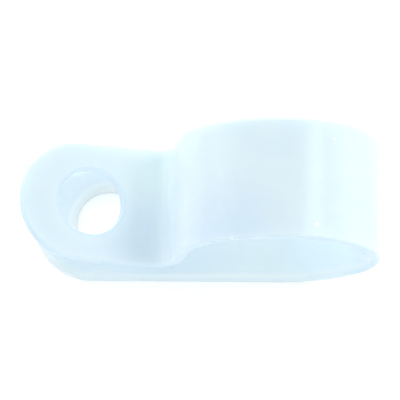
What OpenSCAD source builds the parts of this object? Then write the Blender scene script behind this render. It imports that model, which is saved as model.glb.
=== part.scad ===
// Moulded nylon cable clamp. One strap of constant section runs flat along the base, round
// the cable loop, down a straight flank, back through a root bend and out into a raised
// upper ear, as the clamp lies before it is closed and screwed down.
//
// The origin is the centre of the lower screw hole, on the underside of the base.
// +X points from the hole to the loop, +Y runs along the cable and +Z is up.

/* [Strap] */
// Width of the strap, along the cable
strap_w = 9.5; // [8.5:0.1:16]
// Thickness of the strap
wall = 1.2; // [1:0.05:2]
// Radius of the two edges of the inner face, which bears on the cable
edge_in = 0.7; // [0.1:0.05:0.9]
// Radius of the two edges of the outer face
edge_out = 0.25; // [0.05:0.05:0.45]

/* [Loop] */
// Diameter of the cable that the loop holds
bore_d = 13.8; // [8:0.2:30]
// Angle by which the flank leans out from upright as it leaves the loop
flank_lean = 11.14; // [0:0.01:25]
// Length of the flank, from the loop down to the root bend
flank_run = 2.75; // [0.5:0.05:6]
// Radius of the root bend, on the strap's outer face
root_r = 1.2; // [0.8:0.1:4]

/* [Ears] */
// Angle by which the upper ear stands open from the base
ear_angle = 19.65; // [0:0.01:35]
// Straight run of the upper ear, from the root bend to its hole
upper_run = 4.95; // [3.6:0.05:12]
// Distance from the upper hole to the centre of that ear's round end
upper_end = 1; // [0.2:0.1:4]
// Distance along the base from the lower hole to below the loop's nearest side
lower_run = 5.55; // [3:0.05:14]
// Distance from the lower hole to the centre of that ear's round end
lower_end = 1.3; // [0.2:0.1:4]

/* [Screw holes] */
// Diameter of both screw holes
hole_d = 5.2; // [3:0.1:6]
// Radius of each hole's rim on the inner face
rim_in = 0.6; // [0.05:0.05:0.95]
// Radius of each hole's rim on the outer face
rim_out = 0.15; // [0.05:0.05:0.5]

/* [Hidden] */
$fn = 96;

half_w = strap_w / 2;

// Outer radius of the loop, inner radius of the root bend and place of the loop's axis
loop_r = bore_d / 2 + wall;
bend_r = root_r + wall;
loop_x = lower_run + loop_r;

// Angles that the sweeps start from or turn through
quarter = 90;
half_turn = 2 * quarter;

// Tilts are set to the nearest ones with a sine and a cosine of whole millionths, so that
// tilted faces still meet exactly when sizes are written out with six digits
millionth = 1e-6;
tilt_reach = 80;
function slip(s) = abs(sqrt(1 - s * s) / millionth - round(sqrt(1 - s * s) / millionth));
function near_sines(a) =
    [for (k = [-tilt_reach : tilt_reach]) millionth * (round(sin(a) / millionth) + k)];
function least_slip(sines) = min([for (s = sines) slip(s)]);
function clean_tilt(a) =
    asin([for (s = near_sines(a)) if (slip(s) == least_slip(near_sines(a))) s][0]);
flank_tilt = clean_tilt(flank_lean);
ear_turn = clean_tilt(ear_angle - flank_lean);

// Turns of the loop and the root bend, each a little too far and trimmed where the next
// stretch of the strap leaves it
trim_turn = 10;
loop_turn = 3 * quarter - flank_lean + trim_turn;
bend_turn = quarter + ear_angle - flank_lean + trim_turn;

// Each hole is drilled out to its seat, and a ring with rounded rims fills it in again
hole_r = hole_d / 2;
seat_r = hole_r + rim_in + rim_out;
drill_past = wall;

// Quarter of a disc, filling the corner between +X and +Y
module quarter_disc(r) {
    intersection() {
        circle(r);
        square(r);
    }
}

// Band from X = 0, its inner face, to X = wall, its outer face, and up from Y = 0 to a
// rounded far side: r_in and r_out are the radii of its two corners there
module band(height, r_in, r_out) {
    square([r_in, height - r_in]);
    translate([r_in, 0]) square([wall - r_in - r_out, height]);
    translate([wall - r_out, 0]) square([r_out, height - r_out]);
    translate([r_in, height - r_in]) rotate(quarter) quarter_disc(r_in);
    translate([wall - r_out, height - r_out]) quarter_disc(r_out);
}

// One half of the strap's section, from its centre line out to one side
module half_section() {
    band(half_w, edge_in, edge_out);
}

// The strap's section: X across its thickness from the inner face, Y across its width
module strap_section() {
    half_section();
    mirror([0, 1]) half_section();
}

// Ring round a screw hole, with both rims rounded, standing on its inner face
module hole_ring() {
    rotate_extrude()
        translate([seat_r, 0])
            rotate(quarter) band(seat_r - hole_r, rim_in, rim_out);
}

// Ear that lies on its inner face and runs along -X from the origin to a round end,
// with a screw hole on the way
module ear(run, past) {
    difference() {
        union() {
            rotate([0, -quarter, 0]) linear_extrude(run + past) strap_section();
            translate([-run - past, 0, 0])
                rotate(quarter)
                    rotate_extrude(angle = half_turn)
                        mirror([1, -1]) half_section();
        }
        translate([-run, 0, -drill_past]) cylinder(r = seat_r, h = wall + 2 * drill_past);
    }
    translate([-run, 0, 0]) hole_ring();
}

// Block that fills the quarter between -X and -Z, to trim a sweep of radius r about the Y axis
module trim_block(r) {
    translate([-2 * r, -strap_w, -2 * r]) cube([2 * r, 2 * strap_w, 2 * r]);
}

// Base: the lower ear, turned over so that its inner face is up, as far as the loop
module base() {
    translate([loop_x, 0, wall])
        mirror([0, 0, 1])
            ear(loop_x, lower_end);
}

// Loop: the strap turned about the cable, from the base up and over to the flank
module loop() {
    translate([loop_x, 0, loop_r])
        difference() {
            rotate([quarter, 0, 0])
                rotate(-quarter)
                    rotate_extrude(angle = loop_turn)
                        translate([bore_d / 2, 0]) strap_section();
            rotate([0, flank_tilt, 0]) trim_block(loop_r);
        }
}

// Flank: the strap running straight down from the loop, which has its axis at the origin
module flank() {
    translate([-bore_d / 2, 0, -flank_run])
        mirror([1, 0, 0])
            linear_extrude(flank_run) strap_section();
}

// Root bend: the strap turned the other way about the origin, from the flank to the upper ear
module root_bend() {
    difference() {
        rotate([quarter, 0, 0])
            mirror([0, 1, 0])
                rotate_extrude(angle = bend_turn)
                    translate([bend_r, 0]) mirror([1, 0]) strap_section();
        rotate([0, ear_turn, 0]) trim_block(bend_r);
    }
}

// Upper ear, running out from the root bend, which has its axis at the origin
module upper_ear() {
    rotate([0, ear_turn, 0])
        translate([0, 0, -bend_r])
            ear(upper_run, upper_end);
}

// Arm: all that comes after the loop, leaning out with the flank
module arm() {
    translate([loop_x, 0, loop_r])
        rotate([0, flank_tilt, 0]) {
            flank();
            translate([-loop_r - root_r, 0, -flank_run]) {
                root_bend();
                upper_ear();
            }
        }
}

// The clamp, moulded in one piece
module clamp() {
    color("#dbeaf6")
    union() {
        base();
        loop();
        arm();
    }
}

clamp();
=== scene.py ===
import math

import bmesh
import bpy
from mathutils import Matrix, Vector

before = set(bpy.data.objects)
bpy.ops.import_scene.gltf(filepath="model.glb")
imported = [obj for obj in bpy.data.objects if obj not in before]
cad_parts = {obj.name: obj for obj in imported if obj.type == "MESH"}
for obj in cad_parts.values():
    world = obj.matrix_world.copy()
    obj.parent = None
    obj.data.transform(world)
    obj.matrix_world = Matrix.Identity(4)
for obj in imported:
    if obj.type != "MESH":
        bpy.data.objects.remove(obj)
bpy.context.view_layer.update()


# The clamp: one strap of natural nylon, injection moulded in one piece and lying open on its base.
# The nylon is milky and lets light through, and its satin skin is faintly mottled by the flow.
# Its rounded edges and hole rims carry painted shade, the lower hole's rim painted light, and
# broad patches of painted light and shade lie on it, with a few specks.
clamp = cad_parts["clamp"]

nylon = bpy.data.materials.new("milky_nylon")
nylon.use_nodes = True
nodes = nylon.node_tree.nodes
links = nylon.node_tree.links
nylon_skin = nodes["Principled BSDF"]
nylon_skin.inputs["IOR"].default_value = 1.53
nylon_skin.inputs["Roughness"].default_value = 0.27
nylon_skin.inputs["Subsurface Weight"].default_value = 1.0
nylon_skin.inputs["Subsurface Radius"].default_value = (1, 1, 1)
nylon_skin.inputs["Subsurface Scale"].default_value = 0.0007


def nylon_node(kind, operation=None, **settings):
    made = nodes.new("ShaderNode" + kind)
    if operation:
        made.operation = operation
    for name, value in settings.items():
        made.inputs[name].default_value = value
    return made


def combine(operation, a, b):
    made = nylon_node("Math", operation)
    for socket, source in zip(made.inputs, (a, b)):
        if isinstance(source, (int, float)):
            socket.default_value = source
        else:
            links.new(source, socket)
    return made.outputs["Value"]


# Goes smoothly from 0 at the start to 1 at the end, which may be the smaller of the two
def ramp(source, start, end):
    made = nylon_node("MapRange")
    made.interpolation_type = "SMOOTHSTEP"
    made.inputs["From Min"].default_value = start
    made.inputs["From Max"].default_value = end
    links.new(source, made.inputs["Value"])
    return made.outputs["Result"]


def tinted(under, tint, mask):
    made = nylon_node("Mix")
    made.data_type = "RGBA"
    made.inputs["B"].default_value = tint
    links.new(mask, made.inputs["Factor"])
    if isinstance(under, tuple):
        made.inputs["A"].default_value = under
    else:
        links.new(under, made.inputs["A"])
    return made.outputs["Result"]


place = nylon_node("TexCoord").outputs["Object"]
where = nylon_node("SeparateXYZ")
links.new(place, where.inputs["Vector"])
across = where.outputs["Y"]


def noise(**settings):
    made = nylon_node("TexNoise", **settings)
    links.new(place, made.inputs["Vector"])
    return made.outputs["Fac"]


def distance_from(middle):
    made = nylon_node("VectorMath", "DISTANCE")
    made.inputs[1].default_value = middle
    links.new(place, made.inputs[0])
    return made.outputs["Value"]


# Cloudy streaks where the melt flowed, about 3 mm across, and finer cloudiness within them
NYLON_TINT = (0.75, 0.865, 0.965, 1)
STREAK_TINT = (0.73, 0.854, 0.963, 1)
CLOUD_TINT = (0.80, 0.895, 0.972, 1)
CLOUD_STRENGTH = 0.15
STREAK_SPAN = (0.3, 0.7)
CLOUD_SPAN = (0.35, 0.75)
streaks = ramp(noise(Scale=300, Detail=2, Distortion=0.8), *STREAK_SPAN)
clouds = ramp(noise(Scale=1500, Detail=3), *CLOUD_SPAN)
colour = tinted(NYLON_TINT, STREAK_TINT, streaks)
colour = tinted(colour, CLOUD_TINT, combine("MULTIPLY", clouds, CLOUD_STRENGTH))

# Broad patches of painted light and shade, a little mottled, each with its middle, reach and tint:
# a painted shadow from the loop on the upper ear near its root, painted light beside it, painted
# shade on the loop's near shoulder and painted light along the floor of the bore
LEAST_MOTTLE = 0.4
mottle = combine("MULTIPLY", noise(Scale=1300, Detail=2), 1 - LEAST_MOTTLE)
mottle = combine("ADD", mottle, LEAST_MOTTLE)
for middle, reach, tint in (
    ((0.0021, -0.0032, 0.0066), 0.0042, (0.70, 0.828, 0.93, 1)),
    ((0.0036, 0.0024, 0.0062), 0.0038, (0.80, 0.92, 1.0, 1)),
    ((0.0096, -0.0046, 0.0150), 0.0065, (0.645, 0.785, 0.945, 1)),
    ((0.0122, -0.003, 0.0012), 0.009, (0.80, 0.915, 1.0, 1)),
):
    patch = combine("MULTIPLY", ramp(distance_from(middle), reach, 0.0), mottle)
    colour = tinted(colour, tint, patch)


# An ear's own directions, from the centre of its round end on the inner face: X runs along the ear
# to the loop and Z up through it
def on_ear(end_x, end_z, tilt):
    turned = nylon_node("Mapping")
    turned.vector_type = "TEXTURE"
    turned.inputs["Location"].default_value = (end_x, 0, end_z)
    turned.inputs["Rotation"].default_value = (0, math.radians(tilt), 0)
    links.new(place, turned.inputs["Vector"])
    split = nylon_node("SeparateXYZ")
    links.new(turned.outputs["Vector"], split.inputs["Vector"])
    return split.outputs


# Distance from an axis that stands upright on an ear
def from_axis(along, axis):
    beside = combine("SUBTRACT", along, axis)
    squares = combine("ADD", combine("POWER", beside, 2.0), combine("POWER", across, 2.0))
    return combine("POWER", squares, 0.5)


# The strap's edges and the holes' rims, on the base and on all that lies above it, where shade and
# light are painted. Each pair of sizes says where that painted tint sets in and where it is full:
# outwards from the strap's middle for an edge or a side, inwards to the hole's axis for a rim and
# up through the ear for a rim's top.
UPPER_FROM = 0.0035
LOWER_END = (-0.0013, 0.0012, 0)
LOWER_HOLE = 0.0013
LOWER_EDGE = (0.0044, 0.0047)
LOWER_RIM = (0.0034, 0.0028)
UPPER_END = (-0.002417, 0.00694, 19.65)
UPPER_HOLE = 0.001
UPPER_EDGE = (0.00442, 0.00466)
UPPER_SIDE = (0.0046, 0.00474)
UPPER_RIM = (0.00292, 0.0028)
UPPER_RIM_TOP = (0.0007, 0.0009)
upper = combine("GREATER_THAN", where.outputs["Z"], UPPER_FROM)
lower = combine("SUBTRACT", 1.0, upper)

lower_ear = on_ear(*LOWER_END)
lower_edge = ramp(combine("ABSOLUTE", across, 0.0), *LOWER_EDGE)
lower_edge = combine("MULTIPLY", lower, lower_edge)
lower_rim = ramp(from_axis(lower_ear["X"], LOWER_HOLE), *LOWER_RIM)
lower_rim = combine("MULTIPLY", lower, lower_rim)

upper_ear = on_ear(*UPPER_END)
upper_reach = from_axis(combine("MINIMUM", upper_ear["X"], 0.0), 0.0)
upper_edge = combine("MULTIPLY", upper, ramp(upper_reach, *UPPER_EDGE))
upper_side = combine("MULTIPLY", upper, ramp(upper_reach, *UPPER_SIDE))
upper_rim = ramp(from_axis(upper_ear["X"], UPPER_HOLE), *UPPER_RIM)
upper_rim = combine("MULTIPLY", upper, upper_rim)
upper_rim_top = combine("MULTIPLY", upper_rim, ramp(upper_ear["Z"], *UPPER_RIM_TOP))

# They get painted shade, deeper in tint than the flats, the upper sides most of all. Only the
# lower hole's rim, which is broad and thins to nothing, gets painted light and looks paler.
for tint, mask in (
    ((0.715, 0.855, 0.99, 1), combine("MAXIMUM", lower_edge, upper_rim)),
    ((0.69, 0.832, 0.962, 1), upper_edge),
    ((0.62, 0.785, 0.94, 1), upper_side),
    ((0.665, 0.805, 0.94, 1), upper_rim_top),
    ((0.835, 0.945, 0.99, 1), lower_rim),
):
    colour = tinted(colour, tint, mask)

# Small bright specks that stand out of the skin, each with its middle and radius
SPECK_TINT = (0.88, 0.94, 0.985, 1)
SPECK_CORE = 0.4
SPECK_RISE = 2.0
specks = 0.0
for middle, radius in (
    ((0.01808, 0.00336, 0.01488), 0.00016),
    ((0.01671, -0.0036, 0.01559), 0.00022),
    ((0.01019, -0.00468, 0.01531), 0.00014),
):
    speck = ramp(distance_from(middle), radius, radius * SPECK_CORE)
    specks = combine("MAXIMUM", specks, speck)
colour = tinted(colour, SPECK_TINT, specks)
links.new(colour, nylon_skin.inputs["Base Color"])

# Satin gloss, weaker along the upper edges and round both holes
PLAIN_GLOSS = 0.5
GLOSS_LOST = 0.42
dull = combine("MAXIMUM", upper_edge, combine("MAXIMUM", lower_rim, upper_rim))
gloss = combine("SUBTRACT", PLAIN_GLOSS, combine("MULTIPLY", dull, GLOSS_LOST))
links.new(gloss, nylon_skin.inputs["Specular IOR Level"])

# The skin's fine grain, with the specks raised on it
raised = combine("MULTIPLY", specks, SPECK_RISE)
relief = combine("ADD", noise(Scale=5000, Detail=2), raised)
grain = nylon_node("Bump", Strength=0.25, Distance=0.00002)
links.new(relief, grain.inputs["Height"])
links.new(grain.outputs["Normal"], nylon_skin.inputs["Normal"])

for slot in clamp.material_slots:
    slot.material = nylon


# The floor: a plain pale studio sheet, just below the clamp's base.
# It shows white to the camera and still takes the clamp's soft shadow.
FLOOR_HALF = 1.5
FLOOR_DROP = 0.00003
SHEET_GREY = 0.93
SHEET_LIFT = 0.27
floor_mesh = bpy.data.meshes.new("floor")
sheet = bmesh.new()
bmesh.ops.create_grid(sheet, x_segments=1, y_segments=1, size=FLOOR_HALF)
bmesh.ops.translate(sheet, verts=sheet.verts, vec=(0, 0, -FLOOR_DROP))
sheet.to_mesh(floor_mesh)
sheet.free()
floor = bpy.data.objects.new("floor", floor_mesh)
bpy.context.collection.objects.link(floor)

pale_sheet = bpy.data.materials.new("pale_sheet")
pale_sheet.use_nodes = True
sheet_nodes = pale_sheet.node_tree.nodes
sheet_links = pale_sheet.node_tree.links
sheet_skin = sheet_nodes["Principled BSDF"]
sheet_skin.inputs["Base Color"].default_value = (SHEET_GREY, SHEET_GREY, SHEET_GREY, 1)
sheet_skin.inputs["Roughness"].default_value = 0.9
sheet_skin.inputs["Specular IOR Level"].default_value = 0.0
sheet_skin.inputs["Emission Color"].default_value = (1, 1, 1, 1)

# The lift to white is only for what is seen, straight or in a gloss or through something clear
ray = sheet_nodes.new("ShaderNodeLightPath")
seen = ray.outputs["Is Camera Ray"]
for kind in ("Is Glossy Ray", "Is Transmission Ray"):
    either = sheet_nodes.new("ShaderNodeMath")
    either.operation = "MAXIMUM"
    sheet_links.new(seen, either.inputs[0])
    sheet_links.new(ray.outputs[kind], either.inputs[1])
    seen = either.outputs["Value"]
lift = sheet_nodes.new("ShaderNodeMath")
lift.operation = "MULTIPLY"
lift.inputs[1].default_value = SHEET_LIFT
sheet_links.new(seen, lift.inputs[0])
sheet_links.new(lift.outputs["Value"], sheet_skin.inputs["Emission Strength"])
floor_mesh.materials.append(pale_sheet)


# The studio: even light from all round and small softboxes about the clamp's middle. Each softbox
# has its angle round from the loop's side and its angle up from the floor, both in degrees, then
# its distance, the length of its side and its brightness.
SURROUND_LEVEL = 0.54
CLAMP_MIDDLE = Vector((0.008, 0, 0.006))
scene = bpy.context.scene
scene.view_settings.view_transform = "Standard"
studio = bpy.data.worlds.new("studio")
scene.world = studio
studio.use_nodes = True
surround = studio.node_tree.nodes["Background"]
surround.inputs["Color"].default_value = (1, 1, 1, 1)
surround.inputs["Strength"].default_value = SURROUND_LEVEL


def softbox(name, round_from_loop, up, away, side, brightness):
    turn = math.radians(round_from_loop)
    rise = math.radians(up)
    level = math.cos(rise)
    towards = Vector((level * math.cos(turn), level * math.sin(turn), math.sin(rise)))
    lamp = bpy.data.lights.new(name, "AREA")
    lamp.shape = "SQUARE"
    lamp.size = side
    lamp.energy = brightness * math.pi * side**2
    holder = bpy.data.objects.new(name, lamp)
    holder.location = CLAMP_MIDDLE + away * towards
    holder.rotation_euler = (-towards).to_track_quat("-Z", "Y").to_euler()
    bpy.context.collection.objects.link(holder)


softbox("right_softbox", 2, 10, 0.11, 0.08, 1.35)
softbox("upper_right_softbox", 14, 46, 0.14, 0.045, 3.5)
softbox("far_right_softbox", 48, 22, 0.25, 0.16, 1.4)
softbox("far_softbox", 95, 38, 0.12, 0.07, 1.0)
softbox("far_left_softbox", 132, 18, 0.095, 0.06, 3.0)
softbox("left_softbox", 168, 26, 0.12, 0.05, 0.5)
softbox("near_left_softbox", 208, 22, 0.12, 0.03, 3.6)
softbox("near_softbox", 266, 32, 0.12, 0.09, 1.7)


# The camera: a long lens above the clamp, leaning a little towards its near side.
# Its place and its turn, in degrees, put the clamp where it is in the photograph.
EYE_PLACE = (0.01428, -0.070227, 0.290276)
EYE_TURN = (14.008, 1.1941, 0.7132)
eye = bpy.data.cameras.new("photo_view")
eye.sensor_width = 36
eye.lens = 331.124
eye.clip_start = 0.01
photo_view = bpy.data.objects.new("photo_view", eye)
photo_view.location = EYE_PLACE
photo_view.rotation_euler = [math.radians(angle) for angle in EYE_TURN]
bpy.context.collection.objects.link(photo_view)
scene.camera = photo_view
